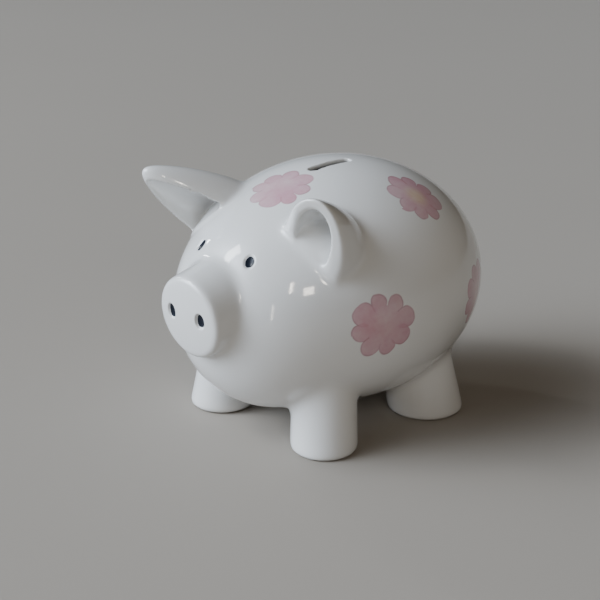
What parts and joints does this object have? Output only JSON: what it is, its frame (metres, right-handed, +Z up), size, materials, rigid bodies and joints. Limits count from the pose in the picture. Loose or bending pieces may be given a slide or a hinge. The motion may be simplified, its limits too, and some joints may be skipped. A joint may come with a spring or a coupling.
{
  "type": "piggy bank",
  "caption": "Hollow glazed clay pig that stands on its feet, with a coin slot along the back and a pull-out rubber stopper under the belly.",
  "frame": {"origin": "under the middle of the whole object's box, on the plane the feet stand on", "axes": "+Z up, the snout points along -Y, the pig's own left side is +X"},
  "size_m": [0.1306, 0.1696, 0.1252],
  "materials": {
    "painted_glaze": "gloss white with pale pink brushed flowers",
    "white_glaze": "gloss white",
    "black_enamel": "gloss black",
    "stopper_rubber": "matt soft rubber"
  },
  "bodies": {
    "pig": {"body_shell": "painted_glaze", "snout": "white_glaze", "left_ear": "white_glaze", "right_ear": "white_glaze", "front_left_leg": "white_glaze", "front_right_leg": "white_glaze", "rear_left_leg": "white_glaze", "rear_right_leg": "white_glaze", "tail": "white_glaze", "left_eye": "black_enamel", "right_eye": "black_enamel", "left_nostril": "black_enamel", "right_nostril": "black_enamel"},
    "plug": {"stopper": "stopper_rubber"}
  },
  "joints": [
    {"name": "stopper_pull", "type": "slide", "parent": "pig", "child": "plug", "axis": [0, 0, -1], "range_m": [0, 0.03]}
  ]
}
